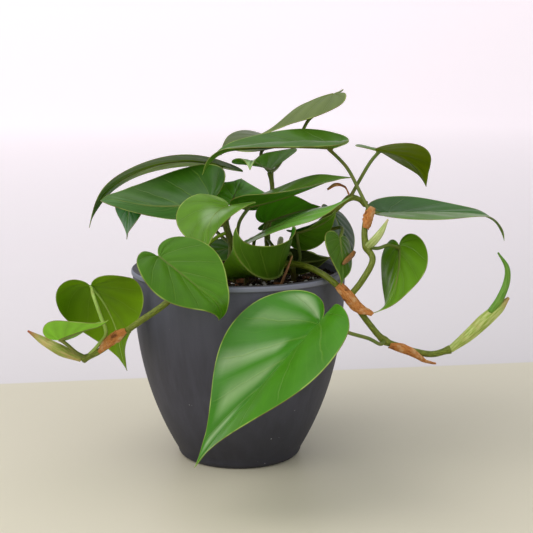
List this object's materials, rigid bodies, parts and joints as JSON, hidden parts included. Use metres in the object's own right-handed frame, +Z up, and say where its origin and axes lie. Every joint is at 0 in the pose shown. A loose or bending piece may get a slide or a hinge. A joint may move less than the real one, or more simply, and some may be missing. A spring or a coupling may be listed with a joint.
{
  "type": "potted heartleaf philodendron",
  "caption": "Trailing heartleaf philodendron in a tapered charcoal pot: glossy heart-shaped leaves on long stalks, vines over the rim, dark soil.",
  "frame": {"origin": "centre of the flat base of the pot, on the surface it stands on", "axes": "+Z up through the middle of the pot; -Y is the front, where the largest leaf hangs; +X is to the right of someone facing the front"},
  "size_m": [0.2624, 0.2381, 0.2033],
  "materials": {
    "stem": "satin",
    "leaf_bright": "satin",
    "leaf_underside": "satin",
    "shoot": "satin",
    "leaf_deep": "satin",
    "leaf_shaded": "satin",
    "leaf_pale": "satin",
    "sheath": "matte",
    "pot": "matte",
    "soil": "matte"
  },
  "bodies": {
    "root": {"stem_left_trail": "stem", "stem_right_trail": "stem", "stem_right_tall": "stem", "stem_center_left": "stem", "stem_center": "stem", "stem_center_tall": "stem", "stem_center_low": "stem", "stem_back_trail": "stem", "leaf_front_large": "leaf_bright", "leaf_rim_left": "leaf_bright", "leaf_far_left": "leaf_underside", "leaf_young_left": "shoot", "leaf_upper_left_back": "leaf_deep", "leaf_upper_left_front": "leaf_deep", "leaf_left_tip": "leaf_bright", "leaf_center_folded": "leaf_bright", "leaf_center_back": "leaf_deep", "leaf_edge_low": "leaf_shaded", "leaf_top_right": "leaf_pale", "leaf_top_back": "leaf_deep", "leaf_under_pale": "leaf_underside", "leaf_center_shaded": "leaf_shaded", "leaf_top_front": "leaf_bright", "leaf_center_upper": "leaf_bright", "leaf_center_lower": "leaf_bright", "leaf_rim_spike": "leaf_bright", "leaf_cupped": "leaf_shaded", "leaf_dark_low": "leaf_shaded", "leaf_right_rim_back": "leaf_deep", "leaf_right_rim_front": "leaf_bright", "leaf_right_upper": "leaf_underside", "leaf_right_long": "leaf_bright", "leaf_right_hanging": "leaf_bright", "leaf_back_left": "leaf_bright", "leaf_back_right": "leaf_deep", "leaf_back_low": "leaf_bright", "sheath_right_upper": "sheath", "sheath_right_lower": "sheath", "sheath_branch": "sheath", "sheath_left_trail": "sheath", "sheath_tall_curl": "sheath", "bud_left_end": "shoot", "sheath_shoot_right": "shoot", "shoot_right_end": "shoot", "shoot_branch": "shoot", "sprout_center": "shoot", "dried_tip_right": "sheath", "stick_in_soil": "sheath", "pot": "pot", "soil": "soil"}
  },
  "joints": []
}
